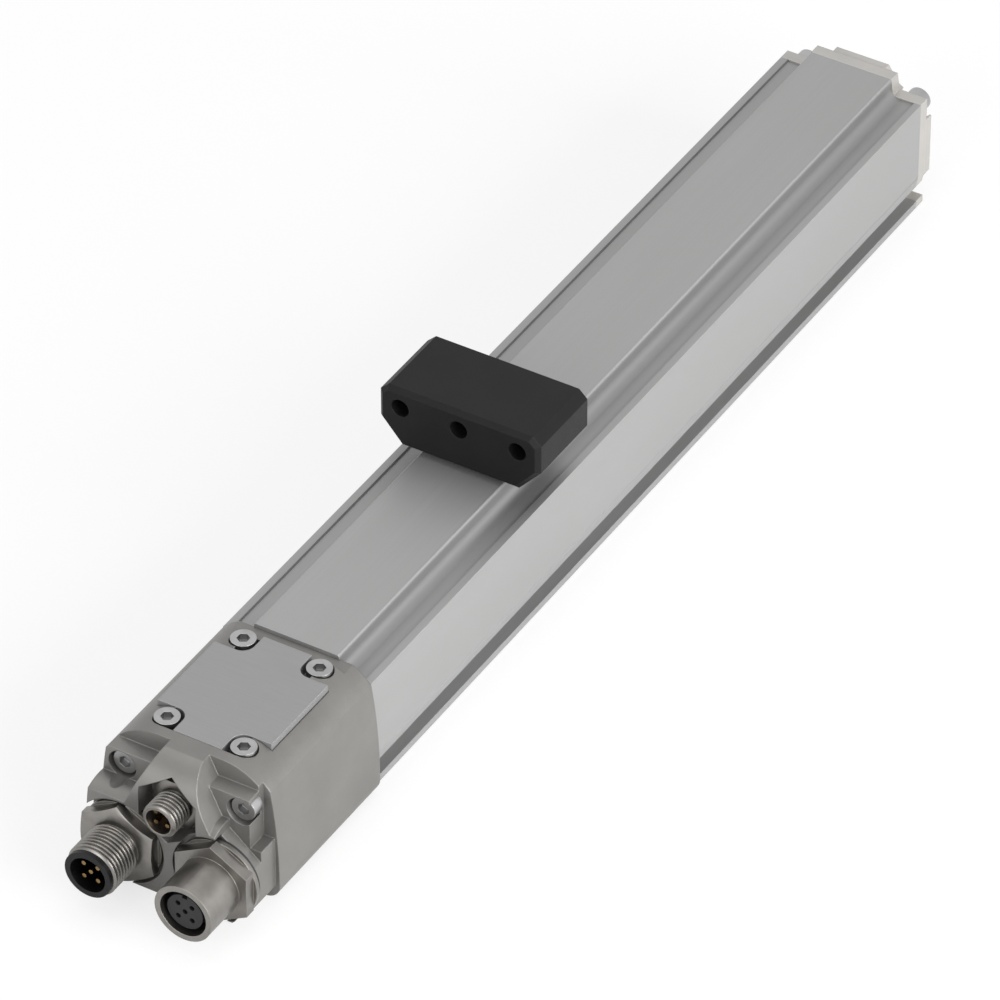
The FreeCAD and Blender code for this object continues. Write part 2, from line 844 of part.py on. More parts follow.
def hex_prism(x, y, z, across, length, lying=False):
    """A hexagonal prism that stands on z, or lies along X from x."""
    prism = doc.addObject("Part::Prism", "Prism")
    if lying:
        prism.Placement.Rotation = FreeCAD.Rotation(FreeCAD.Vector(0, 1, 0), 90)
    bind(prism, "Circumradius", across / ROOT_THREE)
    bind(prism, "Height", length)
    place(prism, x, y, z)
    return prism


def hex_key(x, y, z, lying):
    return hex_prism(x, y, z, S.socket_across, S.socket_depth * 2, lying)


def standing_screw(x, y, seat, length):
    """A socket screw that points down, with its head on the seat."""
    head = post(x, y, seat, S.screw_head_radius, S.screw_head_height)
    shank = post(x, y, seat - length, S.screw_shank_radius, length)
    key = hex_key(x, y, seat + S.screw_head_height - S.socket_depth, False)
    return cut(fuse(head, shank), key)


def lying_screw(x, y, z, length, faces_end):
    """A socket screw along X with its head's seat at x, and its head towards either end."""
    if faces_end:
        head = rod(x, y, z, S.screw_head_radius, S.screw_head_height)
        shank = rod(x - length, y, z, S.screw_shank_radius, length)
        key = hex_key(x + S.screw_head_height - S.socket_depth, y, z, True)
    else:
        head = rod(x - S.screw_head_height, y, z, S.screw_head_radius, S.screw_head_height)
        shank = rod(x, y, z, S.screw_shank_radius, length)
        key = hex_key(x - S.screw_head_height - S.socket_depth, y, z, True)
    return cut(fuse(head, shank), key)


def make_head_screws():
    seat = FLOOR + S.cover_flange
    group([standing_screw(HEAD_JOINT - x, y, seat, S.cover_screw_length)
           for x in (S.cover_screw_front, S.cover_screw_back)
           for y in (S.cover_screw_y, -S.cover_screw_y)], "cover_screws")
    group([lying_screw(HEAD_JOINT - S.head_screw_seat, y, PORT_TOP,
                       S.head_screw_seat + S.head_screw_hold, False)
           for y in (S.port_top_y, -S.port_top_y)], "head_screws")


# Round connectors: along their axes, from the head's front wall to their tips

LARGE_FLANGE_BACK = S.large_seat + S.large_seal_thickness
LARGE_HEX_BACK = LARGE_FLANGE_BACK + S.large_flange_thickness
LARGE_HEX_FRONT = LARGE_HEX_BACK + S.large_hex_thickness
SMALL_HEX_BACK = S.small_seat + S.small_seal_thickness
SMALL_HEX_FRONT = SMALL_HEX_BACK + S.small_hex_thickness
PIN_END = S.front_wall_back - S.board_clearance
LARGE_PINS = ((1, 1), (1, -1), (-1, 1), (-1, -1), (0, 0))
SMALL_PINS = ((1, 1), (1, -1), (-1, 1), (-1, -1))
LARGE_STEP = S.large_pin_circle / ROOT_TWO
SMALL_STEP = S.small_pin_circle / ROOT_TWO


def add_hexagon(body, start, thickness, across, point_up):
    sketch = sketch_on(body, "YZ", -start)
    hexagon(sketch, across, point_up)
    pad(body, sketch, thickness, backwards=True)


def bore_through(body, radius):
    sketch = sketch_on(body, "YZ")
    circle(sketch, ZERO, ZERO, radius)
    pocket(body, sketch)


def pin_holes(body, start, spots, step, radius, depth=None):
    """Round holes at the pins' places, cut towards the tips."""
    sketch = sketch_on(body, "YZ", -start)
    for across, up in spots:
        circle(sketch, step * across, step * up, radius)
    pocket(body, sketch, depth)


def pin_rods(y, z, spots, step, radius, back, front):
    return [rod(HEAD_JOINT - front, y + step * across, z + step * up, radius, front - back)
            for across, up in spots]


def make_seal(label, centres, seat, thickness, outer, inner):
    rings = [cut(rod(HEAD_JOINT - seat - thickness, y, z, outer, thickness),
                 rod(HEAD_JOINT - seat - thickness * 2, y, z, inner, thickness * 3)) for y, z in centres]
    group(rings, label)


def make_plug():
    """The large connector with pins: threaded shell, insert with a collar, and five pins."""
    gap = S.fit_gap
    y, z = S.large_axis_y, S.large_axis_z
    shell = new_body("plug_shell", HEAD_JOINT, y, z)
    turn(shell, [
        (-S.front_wall_back, S.large_bore_radius),
        (-S.front_wall_back, S.large_shank_radius - gap),
        (-LARGE_FLANGE_BACK, S.large_shank_radius - gap),
        (-LARGE_FLANGE_BACK, S.large_flange_radius),
        (-LARGE_HEX_BACK, S.large_flange_radius),
        (-LARGE_HEX_BACK, S.plug_neck_radius),
        (-LARGE_HEX_FRONT - S.plug_neck_length, S.plug_neck_radius),
        (-LARGE_HEX_FRONT - S.plug_neck_length, S.plug_thread_radius),
        (-S.plug_thread_end + S.thread_bevel, S.plug_thread_radius),
        (-S.plug_thread_end, S.plug_thread_radius - S.thread_bevel),
        (-S.plug_thread_end, S.large_bore_radius)])
    add_hexagon(shell, LARGE_HEX_BACK, S.large_hex_thickness, S.large_hex_across, True)
    bore_through(shell, S.large_bore_radius)
    insert = new_body("plug_insert", HEAD_JOINT, y, z)
    turn(insert, [
        (-S.front_wall_back, ZERO),
        (-S.front_wall_back, S.large_bore_radius - gap),
        (-S.plug_thread_end, S.large_bore_radius - gap),
        (-S.plug_thread_end, S.plug_thread_radius - S.thread_bevel),
        (-S.plug_tip, S.plug_thread_radius - S.thread_bevel),
        (-S.plug_tip, S.plug_cavity_radius),
        (-S.plug_tip + S.plug_cavity_depth, S.plug_cavity_radius),
        (-S.plug_tip + S.plug_cavity_depth, ZERO)])
    pin_holes(insert, ZERO, LARGE_PINS, LARGE_STEP, S.large_pin_radius)
    group(pin_rods(y, z, LARGE_PINS, LARGE_STEP, S.large_pin_radius,
                   PIN_END, S.plug_tip - S.pin_setback), "plug_pins")


def make_socket():
    """The large connector with contact holes: barrel, insert with a key slot, five contacts."""
    gap = S.fit_gap
    y, z = -S.large_axis_y, S.large_axis_z
    floor = S.socket_tip - S.socket_depth_inside
    shell = new_body("socket_shell", HEAD_JOINT, y, z)
    turn(shell, [
        (-S.front_wall_back, S.large_bore_radius),
        (-S.front_wall_back, S.large_shank_radius - gap),
        (-LARGE_FLANGE_BACK, S.large_shank_radius - gap),
        (-LARGE_FLANGE_BACK, S.large_flange_radius),
        (-LARGE_HEX_BACK, S.large_flange_radius),
        (-LARGE_HEX_BACK, S.socket_barrel_radius),
        (-S.socket_tip, S.socket_barrel_radius),
        (-S.socket_tip, S.socket_thread_radius),
        (-floor, S.socket_thread_radius),
        (-floor, S.large_bore_radius)])
    add_hexagon(shell, LARGE_HEX_BACK, S.large_hex_thickness, S.large_hex_across, True)
    bore_through(shell, S.large_bore_radius)
    insert = new_body("socket_insert", HEAD_JOINT, y, z)
    turn(insert, [
        (-S.front_wall_back, ZERO),
        (-S.front_wall_back, S.large_bore_radius - gap),
        (-floor, S.large_bore_radius - gap),
        (-floor, S.socket_insert_radius),
        (-S.socket_insert_tip, S.socket_insert_radius),
        (-S.socket_insert_tip, ZERO)])
    pin_holes(insert, ZERO, LARGE_PINS, LARGE_STEP, S.large_pin_radius)
    pin_holes(insert, S.socket_insert_tip - S.contact_setback,
              LARGE_PINS, LARGE_STEP, S.contact_hole_radius)
    slot = sketch_on(insert, "YZ", -floor)
    rectangle(slot, -S.key_slot_width / 2, S.key_slot_width / 2,
              S.socket_insert_radius - S.key_slot_depth, S.socket_insert_radius * 2)
    pocket(insert, slot)
    group(pin_rods(y, z, LARGE_PINS, LARGE_STEP, S.large_pin_radius,
                   PIN_END, S.socket_insert_tip - S.contact_setback), "socket_contacts")


def make_small_plug():
    """The small connector with pins: threaded shell with a hexagon, insert and four pins."""
    gap = S.fit_gap
    z = SMALL_AXIS
    shell = new_body("small_shell", HEAD_JOINT, ZERO, z)
    turn(shell, [
        (-S.front_wall_back, S.small_bore_radius),
        (-S.front_wall_back, S.small_shank_radius - gap),
        (-SMALL_HEX_BACK, S.small_shank_radius - gap),
        (-SMALL_HEX_BACK, S.small_thread_radius),
        (-S.small_tip + S.thread_bevel, S.small_thread_radius),
        (-S.small_tip, S.small_thread_radius - S.thread_bevel),
        (-S.small_tip, S.small_bore_radius)])
    add_hexagon(shell, SMALL_HEX_BACK, S.small_hex_thickness, S.small_hex_across, False)
    bore_through(shell, S.small_bore_radius)
    insert = new_body("small_insert", HEAD_JOINT, ZERO, z)
    turn(insert, [
        (-S.front_wall_back, ZERO),
        (-S.front_wall_back, S.small_bore_radius - gap),
        (-S.small_tip + S.small_cavity_depth, S.small_bore_radius - gap),
        (-S.small_tip + S.small_cavity_depth, ZERO)])
    pin_holes(insert, ZERO, SMALL_PINS, SMALL_STEP, S.small_pin_radius)
    group(pin_rods(ZERO, z, SMALL_PINS, SMALL_STEP, S.small_pin_radius,
                   PIN_END, S.small_tip - S.pin_setback), "small_pins")


def make_connector_seals():
    large = [(side * S.large_axis_y, S.large_axis_z) for side in (as_size(1), as_size(-1))]
    make_seal("large_seal_rings", large, S.large_seat, S.large_seal_thickness,
              S.large_seal_radius, S.large_shank_radius)
    make_seal("small_seal_ring", [(ZERO, SMALL_AXIS)], S.small_seat, S.small_seal_thickness,
              S.small_seal_radius, S.small_shank_radius)


# Boards in the head

BOARD_LOW = WIRE_HEIGHT - S.board_below_wire
BOARD_TOP = BOARD_LOW + S.board_thickness
BOARD_BACK = PIN_END - S.board_thickness
BOARD_FRONT = BOARD_BACK - S.board_gap
STANDOFFS = ((S.standoff_front, S.standoff_y), (S.standoff_front, -S.standoff_y),
             (S.standoff_back, S.standoff_y), (S.standoff_back, -S.standoff_y))


def make_connector_board():
    """The upright board; the pins of the connectors end on its front."""
    body = new_body("connector_board", HEAD_JOINT)
    narrow = S.head_chamber_top_half_width - S.board_gap
    inner = S.cover_screw_y - S.screw_head_radius - S.board_gap
    shoulder = SCREW_BLOCK_LOW - S.board_gap
    sketch = sketch_on(body, "YZ", -BOARD_BACK)
    outline(sketch, mirrored(chamber_corners(S.board_gap) + [
        (narrow, shoulder), (inner, shoulder), (inner, HEAD_ROOF - S.board_gap)]))
    pad(body, sketch, S.board_thickness, backwards=True)


def make_main_board():
    body = new_body("main_board", HEAD_JOINT)
    half = S.head_chamber_half_width - S.board_gap
    sketch = sketch_on(body, "XY", BOARD_LOW)
    rectangle(sketch, -BOARD_FRONT, -S.main_board_end, -half, half)
    pad(body, sketch, S.board_thickness)
    holes = sketch_on(body, "XY", BOARD_LOW)
    for x, y in STANDOFFS:
        circle(holes, -x, y, S.board_screw_radius)
    pocket(body, holes, forwards=True)
    deep = S.board_screw_length
    standoffs = []
    screws = []
    for x, y in STANDOFFS:
        pillar = hex_prism(HEAD_JOINT - x, y, S.head_chamber_floor, S.standoff_across,
                           BOARD_LOW - S.head_chamber_floor)
        tapped = post(HEAD_JOINT - x, y, BOARD_LOW - deep, S.board_screw_radius, deep * 2)
        standoffs.append(cut(pillar, tapped))
        head = post(HEAD_JOINT - x, y, BOARD_TOP, S.board_screw_head_radius, S.board_screw_head_height)
        shank = post(HEAD_JOINT - x, y, BOARD_LOW - deep, S.board_screw_radius,
                     deep + S.board_thickness)
        screws.append(fuse(head, shank))
    group(standoffs, "board_standoffs")
    group(screws, "board_screws")
    node(centred_block(HEAD_JOINT - BOARD_BACK, ZERO, BOARD_TOP, S.header_length,
                       S.header_width, S.header_height), "board_header")


def make_components():
    """Chips and capacitors on the main board."""
    back = HEAD_JOINT - S.standoff_front
    chip = centred_block(back + S.chip_spacing, ZERO, BOARD_TOP, S.chip_side, S.chip_side, S.chip_height)
    small = [centred_block(back + S.chip_spacing, side * S.chip_side, BOARD_TOP,
                           S.chip_side / 2, S.chip_side / 2, S.chip_height)
             for side in (as_size(1), as_size(-1))]
    cans = [post(back + S.chip_side + S.chip_spacing * 2, y * S.chip_side, BOARD_TOP,
                 S.can_radius, S.can_height) for y in (as_size(0.5), as_size(-0.5))]
    under = centred_block(back + S.chip_spacing, ZERO, BOARD_LOW - S.chip_height,
                          S.chip_side * 2, S.chip_side, S.chip_height)
    group([chip, under] + small + cans, "board_components")


# Sensing element

def make_pickup():
    """The coil on its bobbin, the small magnet beside it, and the clamp of the wire."""
    z = WIRE_HEIGHT
    long_side = S.coil_length + S.bobbin_flange * 2
    x = HEAD_JOINT - S.coil_start - long_side
    core = rod(x, ZERO, z, S.bobbin_core_radius, long_side)
    base = centred_block(x, ZERO, BOARD_TOP, long_side, S.bobbin_foot_width, S.bobbin_foot)
    flanges = []
    for start in (x, x + long_side - S.bobbin_flange):
        flanges.append(rod(start, ZERO, z, S.bobbin_flange_radius, S.bobbin_flange))
        flanges.append(centred_block(start, ZERO, BOARD_TOP, S.bobbin_flange,
                                     S.bobbin_foot_width, z - BOARD_TOP))
    bore = rod(x - long_side, ZERO, z, S.wire_radius + S.wire_clearance, long_side * 3)
    node(cut(fuse(core, base, *flanges), bore), "coil_bobbin")
    winding = rod(x + S.bobbin_flange, ZERO, z, S.coil_radius, S.coil_length)
    hollow = rod(x, ZERO, z, S.bobbin_core_radius, long_side)
    node(cut(winding, hollow), "pickup_coil")
    node(block(x + S.bobbin_flange, S.bobbin_foot_width / 2 + S.fit_gap, BOARD_TOP,
               S.bias_magnet_length, S.bias_magnet_side, S.bias_magnet_side), "bias_magnet")
    start = HEAD_JOINT - S.wire_start
    body = centred_block(start, ZERO, BOARD_TOP, S.clamp_length, S.clamp_width,
                         z + S.clamp_cap - BOARD_TOP)
    holes = [rod(start - S.clamp_length, y, height, radius, S.clamp_length * 3)
             for y, height, radius in ((ZERO, z, S.wire_radius),
                                       (S.return_wire_y, RETURN_HEIGHT, S.return_wire_radius))]
    node(cut(body, *holes), "waveguide_clamp")


RETURN_HEIGHT = WIRE_HEIGHT - S.tube_radius + S.return_wire_radius


def make_sensing_element():
    """The sensing wire in its tube, the return wire, the damper and the carrier below them."""
    z = WIRE_HEIGHT
    start = HEAD_JOINT - S.wire_start
    end = CAP_JOINT - S.wire_end_margin
    node(rod(start, ZERO, z, S.wire_radius, end - start), "waveguide_wire")
    tube_start = HEAD_JOINT + S.tube_start
    tube_end = end - S.wire_end_bare - S.damper_length - S.damper_gap
    tube = rod(tube_start, ZERO, z, S.tube_radius, tube_end - tube_start)
    inside = rod(tube_start - S.tube_radius, ZERO, z, S.tube_bore,
                 tube_end - tube_start + S.tube_radius * 2)
    node(cut(tube, inside), "waveguide_tube")
    lead = rod(start, S.return_wire_y, RETURN_HEIGHT, S.return_wire_radius, end - start)
    joint = block(end - S.return_wire_radius * 2, S.wire_radius, z - S.tube_radius,
                  S.return_wire_radius * 2, S.return_wire_y - S.wire_radius,
                  S.tube_radius)
    node(fuse(lead, joint), "return_wire")
    damper_start = end - S.wire_end_bare - S.damper_length
    damper = rod(damper_start, ZERO, z, S.damper_radius, S.damper_length)
    through = rod(damper_start - S.damper_radius, ZERO, z, S.wire_radius,
                  S.damper_length + S.damper_radius * 2)
    node(cut(damper, through), "damping_element")
    carrier = new_body("waveguide_carrier", HEAD_JOINT)
    sketch = sketch_on(carrier, "YZ", S.carrier_start)
    half = S.chamber_half_width - S.chamber_corner
    top = WIRE_HEIGHT - S.tube_radius
    outline(sketch, mirrored([
        (half - S.carrier_wall, top - S.carrier_top),
        (half - S.carrier_wall, S.chamber_floor),
        (half, S.chamber_floor),
        (half, top)]))
    length = S.profile_length - S.carrier_start - S.carrier_end_margin
    pad(carrier, sketch, length)
    trough = sketch_on(carrier, "YZ", S.profile_length - S.wire_end_margin - S.wire_end_bare
                       - S.damper_length - S.damper_gap)
    circle(trough, ZERO, WIRE_HEIGHT, S.damper_radius)
    pocket(carrier, trough, S.damper_length + S.damper_gap * 2, forwards=True)


# End cap

def make_end_cap():
    body = new_body("end_cap", CAP_JOINT)
    plate = sketch_on(body, "YZ")
    slot = S.flange_half_width - S.clamp_slot_depth
    outline(plate, mirrored([
        (S.flange_half_width, ZERO),
        (S.flange_half_width, S.flange_thickness),
        (slot, S.flange_thickness),
        (slot, S.clamp_slot_top),
        (S.profile_half_width - S.strip_inset, S.clamp_slot_top),
        (S.profile_half_width, S.seam_height),
        (S.profile_half_width, SHOULDER),
        (S.platform_half_width + S.cap_slope, SHOULDER),
        (S.platform_half_width, S.platform_height)]))
    pad(body, plate, S.cap_plate)
    raised = sketch_on(body, "YZ", S.cap_plate)
    half = S.profile_half_width - S.cap_block_inset
    outline(raised, mirrored([
        (S.cap_block_low_half_width, S.cap_block_bottom),
        (half, S.cap_block_low_corner),
        (half, S.platform_height - S.cap_block_shoulder_drop),
        (S.cap_shelf_half_width, S.platform_height - S.cap_shelf_drop),
        (S.cap_step_half_width, S.platform_height - S.cap_block_top_drop)]))
    pad(body, raised, S.cap_block)
    relief = sketch_on(body, "YZ", S.cap_plate)
    cap_circles(relief, S.cap_screw_relief)
    pocket(body, relief, forwards=True)
    holes = sketch_on(body, "YZ")
    cap_circles(holes, S.screw_shank_radius + S.screw_clearance)
    pocket(body, holes, forwards=True)
    groove = sketch_on(body, "YZ")
    ring_outline(groove)
    pocket(body, groove, S.seal_groove, forwards=True)
    face = CAP_JOINT + S.cap_plate
    screws = []
    washers = []
    for y, z in port_places():
        washer = rod(face, y, z, S.washer_radius, S.washer_thickness)
        hole = rod(face - S.washer_thickness, y, z, S.screw_shank_radius + S.screw_clearance,
                   S.washer_thickness * 3)
        washers.append(cut(washer, hole))
        screws.append(lying_screw(face + S.washer_thickness, y, z, S.cap_screw_length, True))
    group(washers, "end_cap_washers")
    group(screws, "end_cap_screws")


def port_places():
    return [(y * side, z) for y, z in ((S.port_top_y, PORT_TOP), (S.port_low_y, S.port_low_z))
            for side in (1, -1)]


def cap_circles(sketch, radius):
    for y, z in port_places():
        circle(sketch, y, z, radius)


# Floating position magnet

def make_magnet():
    x = HEAD_JOINT + S.magnet_centre
    z = S.platform_height + S.magnet_lift
    body = new_body("magnet_housing", x, ZERO, z)
    half = S.magnet_length / 2
    sketch = sketch_on(body, "YZ", -half)
    outline(sketch, mirrored([
        (S.magnet_foot_half_width, ZERO),
        (S.magnet_half_width, S.magnet_side_low),
        (S.magnet_half_width, S.magnet_side_high),
        (S.magnet_top_half_width, S.magnet_height)]))
    block_pad = pad(body, sketch, S.magnet_length)
    chamfer(body, block_pad, S.magnet_bevel,
            lambda edge: abs(abs(edge.CenterOfMass.x) - half.value) < 0.001)
    holes = sketch_on(body, "YZ", -S.magnet_length)
    for y in (ZERO, S.magnet_hole_pitch, -S.magnet_hole_pitch):
        circle(holes, y, S.magnet_hole_height, S.magnet_hole_radius)
    pocket(body, holes, forwards=True)
    gap = S.fit_gap
    lid_long = S.pole_length / 2 + S.pole_lid_rim
    lid_wide = S.pole_offset + S.pole_width / 2 + S.pole_lid_rim
    recess = sketch_on(body, "XY")
    rectangle(recess, -lid_long - gap, lid_long + gap, -lid_wide - gap, lid_wide + gap)
    pocket(body, recess, S.pole_lid, forwards=True)
    poles = sketch_on(body, "XY")
    long_half = S.pole_length / 2 + gap
    wide_half = S.pole_width / 2 + gap
    for centre in (S.pole_offset, -S.pole_offset):
        rectangle(poles, -long_half, long_half, centre - wide_half, centre + wide_half)
    pocket(body, poles, S.pole_lid + S.pole_height, forwards=True)
    group([centred_block(x - S.pole_length / 2, y, z + S.pole_lid,
                         S.pole_length, S.pole_width, S.pole_height)
           for y in (S.pole_offset, -S.pole_offset)], "magnet_blocks")
    node(centred_block(x - lid_long, ZERO, z, lid_long * 2, lid_wide * 2, S.pole_lid), "magnet_lid")


def build_all():
    make_profile()
    make_head()
    make_ring_seal("head_seal", HEAD_JOINT, True)
    make_cover()
    make_head_screws()
    make_plug()
    make_socket()
    make_small_plug()
    make_connector_seals()
    make_connector_board()
    make_main_board()
    make_components()
    make_pickup()
    make_sensing_element()
    make_end_cap()
    make_ring_seal("end_cap_seal", CAP_JOINT, False)
    make_magnet()


def check_and_write():
    """Stop on any failed object or bad shape, then write one file for each sub-part."""
    doc.recompute()
    failed = [item.Label for item in doc.Objects if "Invalid" in item.State or "Error" in item.State]
    if failed:
        raise RuntimeError("failed: " + ", ".join(failed))
    for item in NODES:
        if item.Shape.isNull() or not item.Shape.isValid():
            raise RuntimeError("bad shape: " + item.Label)
    os.makedirs("parts", exist_ok=True)
    for item in NODES:
        item.Shape.exportStep(os.path.join("parts", item.Label + ".step"))
        box = item.Shape.BoundBox
        print("%-20s %d solid(s) %10.2f mm3  x %.2f..%.2f  y %.2f..%.2f  z %.2f..%.2f" % (
            item.Label, len(item.Shape.Solids), item.Shape.Volume,
            box.XMin, box.XMax, box.YMin, box.YMax, box.ZMin, box.ZMax))


build_all()
check_and_write()
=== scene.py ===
# %% [markdown]
# A magnetostrictive position sensor
#
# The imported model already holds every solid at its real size. This lesson adds what the solids leave out:
# the cut threads of the two connectors with pins, a finish for every part, and the light and camera of a
# product picture. Everything is in metres. X runs along the profile, from the connector head to the end cap.

# %% Load the model
import math

import bpy
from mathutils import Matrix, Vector


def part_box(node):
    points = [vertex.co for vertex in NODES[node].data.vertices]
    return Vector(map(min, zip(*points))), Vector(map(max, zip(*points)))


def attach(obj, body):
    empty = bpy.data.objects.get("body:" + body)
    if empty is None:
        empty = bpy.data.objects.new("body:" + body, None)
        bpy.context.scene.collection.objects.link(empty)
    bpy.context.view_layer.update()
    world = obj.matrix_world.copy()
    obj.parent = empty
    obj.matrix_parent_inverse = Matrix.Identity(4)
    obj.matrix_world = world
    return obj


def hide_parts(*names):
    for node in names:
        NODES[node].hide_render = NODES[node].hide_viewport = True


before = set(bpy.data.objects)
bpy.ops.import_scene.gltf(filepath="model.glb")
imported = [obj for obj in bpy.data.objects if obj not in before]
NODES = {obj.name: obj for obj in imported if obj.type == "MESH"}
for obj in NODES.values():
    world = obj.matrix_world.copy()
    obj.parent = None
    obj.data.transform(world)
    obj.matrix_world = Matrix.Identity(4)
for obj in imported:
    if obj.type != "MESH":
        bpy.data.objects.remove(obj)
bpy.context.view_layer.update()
MM = 0.001

# %% [markdown]
# The camera
#
# The picture was taken from far away with a long lens, so parallel edges hardly converge. The place and
# the two turns of the camera were measured from the edges of the profile. A lens of 296 mm on a 36 mm
# frame gives the same narrow view of seven degrees.

# %% Set the camera
CAMERA_PLACE_MM = (-1198.808, -697.490, 1104.232)
CAMERA_TILT = math.radians(51.19)
CAMERA_HEADING = math.radians(-59.05)

camera_data = bpy.data.cameras.new("product_camera")
camera_data.lens = 296.04
camera_data.sensor_width = 36
camera_data.clip_start = 0.1
camera_data.clip_end = 20
camera = bpy.data.objects.new("product_camera", camera_data)
camera.location = Vector(CAMERA_PLACE_MM) * MM
camera.rotation_euler = (CAMERA_TILT, 0, CAMERA_HEADING)
bpy.context.scene.collection.objects.link(camera)
bpy.context.scene.camera = camera
bpy.context.scene.view_settings.view_transform = "Standard"
print("camera at", tuple(round(v, 3) for v in camera.location))

# %% [markdown]
# Materials from nodes
#
# A finish is a colour, a roughness and a small relief, and on a real part all three vary a little. A few
# helpers keep the node trees short: each one adds a node, sets its inputs and returns the output to use.
# Patterns read Object coordinates, in metres, so that a scale of 1000 repeats about every millimetre.

# %% Helpers for node trees
class Finish:
    """One material, with a Principled shader that the helpers feed."""

    def __init__(self, name, metallic=0.0, **inputs):
        self.material = bpy.data.materials.new(name)
        self.material.use_nodes = True
        self.tree = self.material.node_tree
        self.shader = self.tree.nodes["Principled BSDF"]
        self.shader.inputs["Metallic"].default_value = metallic
        for key, value in inputs.items():
            self.shader.inputs[key.replace("_", " ")].default_value = value
        self.place = self.tree.nodes.new("ShaderNodeTexCoord").outputs["Object"]

    def node(self, kind, **settings):
        """Add a node with its settings."""
        made = self.tree.nodes.new(kind)
        for key, value in settings.items():
            setattr(made, key, value)
        return made

    def feed(self, socket, value):
        """Link an output to a socket, or set a plain value on it."""
        if isinstance(value, bpy.types.NodeSocket):
            self.tree.links.new(value, socket)
        else:
            socket.default_value = value

    def noise(self, scale, stretch=(1, 1, 1), detail=3.0):
        """Cloudy variation; stretch above 1 makes it finer along that axis."""
        mapping = self.node("ShaderNodeMapping")
        mapping.inputs["Scale"].default_value = stretch
        self.feed(mapping.inputs["Vector"], self.place)
        texture = self.node("ShaderNodeTexNoise")
        self.feed(texture.inputs["Vector"], mapping.outputs["Vector"])
        texture.inputs["Scale"].default_value = scale
        texture.inputs["Detail"].default_value = detail
        texture.inputs["Roughness"].default_value = 0.55
        return texture.outputs["Fac"]

    def span(self, value, low, high, from_low=0.3, from_high=0.7):
        """Stretch a variation to the range from low to high."""
        remap = self.node("ShaderNodeMapRange")
        self.feed(remap.inputs["Value"], value)
        remap.inputs["From Min"].default_value = from_low
        remap.inputs["From Max"].default_value = from_high
        remap.inputs["To Min"].default_value = low
        remap.inputs["To Max"].default_value = high
        return remap.outputs["Result"]

    def blend(self, amount, first, second):
        """Mix two colours by an amount."""
        mix = self.node("ShaderNodeMix", data_type="RGBA")
        self.feed(mix.inputs["Factor"], amount)
        self.feed(mix.inputs["A"], first)
        self.feed(mix.inputs["B"], second)
        return mix.outputs["Result"]

    def math(self, operation, first, second):
        """Work out one value from two."""
        made = self.node("ShaderNodeMath", operation=operation)
        self.feed(made.inputs[0], first)
        self.feed(made.inputs[1], second)
        return made.outputs[0]

    def edges(self, width):
        """A soft normal over the edges, and a mask that is 1 on them."""
        soft = self.node("ShaderNodeBevel", samples=6)
        soft.inputs["Radius"].default_value = width
        dot = self.node("ShaderNodeVectorMath", operation="DOT_PRODUCT")
        self.feed(dot.inputs[0], soft.outputs["Normal"])
        self.feed(dot.inputs[1], self.node("ShaderNodeNewGeometry").outputs["Normal"])
        mask = self.span(dot.outputs["Value"], 1.0, 0.0, 0.80, 0.99)
        return soft.outputs["Normal"], mask

    def relief(self, height, distance, strength, normal=None):
        """A bump, laid over the soft normal of the edges where one is given."""
        bump = self.node("ShaderNodeBump")
        self.feed(bump.inputs["Height"], height)
        bump.inputs["Distance"].default_value = distance
        bump.inputs["Strength"].default_value = strength
        if normal is not None:
            self.feed(bump.inputs["Normal"], normal)
        self.feed(self.shader.inputs["Normal"], bump.outputs["Normal"])

    def colour(self, value):
        """Set the colour of the shader."""
        self.feed(self.shader.inputs["Base Color"], value)

    def colour_edged(self, base, mask, share, on_edges):
        """Set the colour, with a share of a second one mixed in on the edges."""
        self.colour(self.blend(self.math("MULTIPLY", mask, share), base, on_edges))

    def rough(self, value):
        """Set the roughness of the shader."""
        self.feed(self.shader.inputs["Roughness"], value)


def grey(level, warm=0.0):
    """A grey as it should show on screen, from 0 to 255, a little warmer where asked."""
    linear = (level / 255) ** 2.2
    return (linear * (1 + warm), linear, linear * (1 - warm * 1.4), 1)


def wear(finish, *node_names):
    """Put a finish on one part of the model or on several."""
    for node_name in node_names:
        slots = NODES[node_name].material_slots
        for slot in slots:
            slot.material = finish.material
        if not slots:
            NODES[node_name].data.materials.append(finish.material)


# %% [markdown]
# Anodised extrusion
#
# The profile is pressed through a die, which leaves hair-fine lines along its whole length. The anodising
# turns the bright metal into a soft grey. In the groove on the right of the platform a darker grey is
# painted in as shade, where the platform's wall shadows the groove. So the noise is stretched along X until
# it becomes lines, and the place across the profile decides how much of the painted shade is mixed in.

# %% Finish of the measuring profile
profile_finish = Finish("anodised_extrusion", metallic=0.55)
die_lines = profile_finish.noise(1800, stretch=(0.01, 1, 1), detail=4)
clouds = profile_finish.noise(60, stretch=(0.3, 1, 1))
soft_normal, edge_mask = profile_finish.edges(0.0001)
lined = profile_finish.blend(profile_finish.span(die_lines, 0, 1), grey(150), grey(154))
toned = profile_finish.blend(profile_finish.span(clouds, 0, 0.5), lined, grey(148, 0.01))

# %% [markdown]
# Painted shade in the groove
#
# The painted shade is limited by five masks, each a number between 0 and 1, which are multiplied. It starts
# beside the middle of the platform, is darkest next to the platform's wall, where its shadow falls, fades
# outwards, and leaves out the platform's top and the profile's outer side.

# %% Mask of the painted shade in the groove
GROOVE_FROM = 0.008
FADE_FROM, FADE_TO = 0.0120, 0.0170
SIDE_FROM, SIDE_TO = 0.0173, 0.0176
FLOOR_FROM, FLOOR_TO = 0.0160, 0.0180
platform_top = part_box("profile_housing")[1].z
TOP_FROM, TOP_TO = platform_top - 0.0012, platform_top - 0.0004

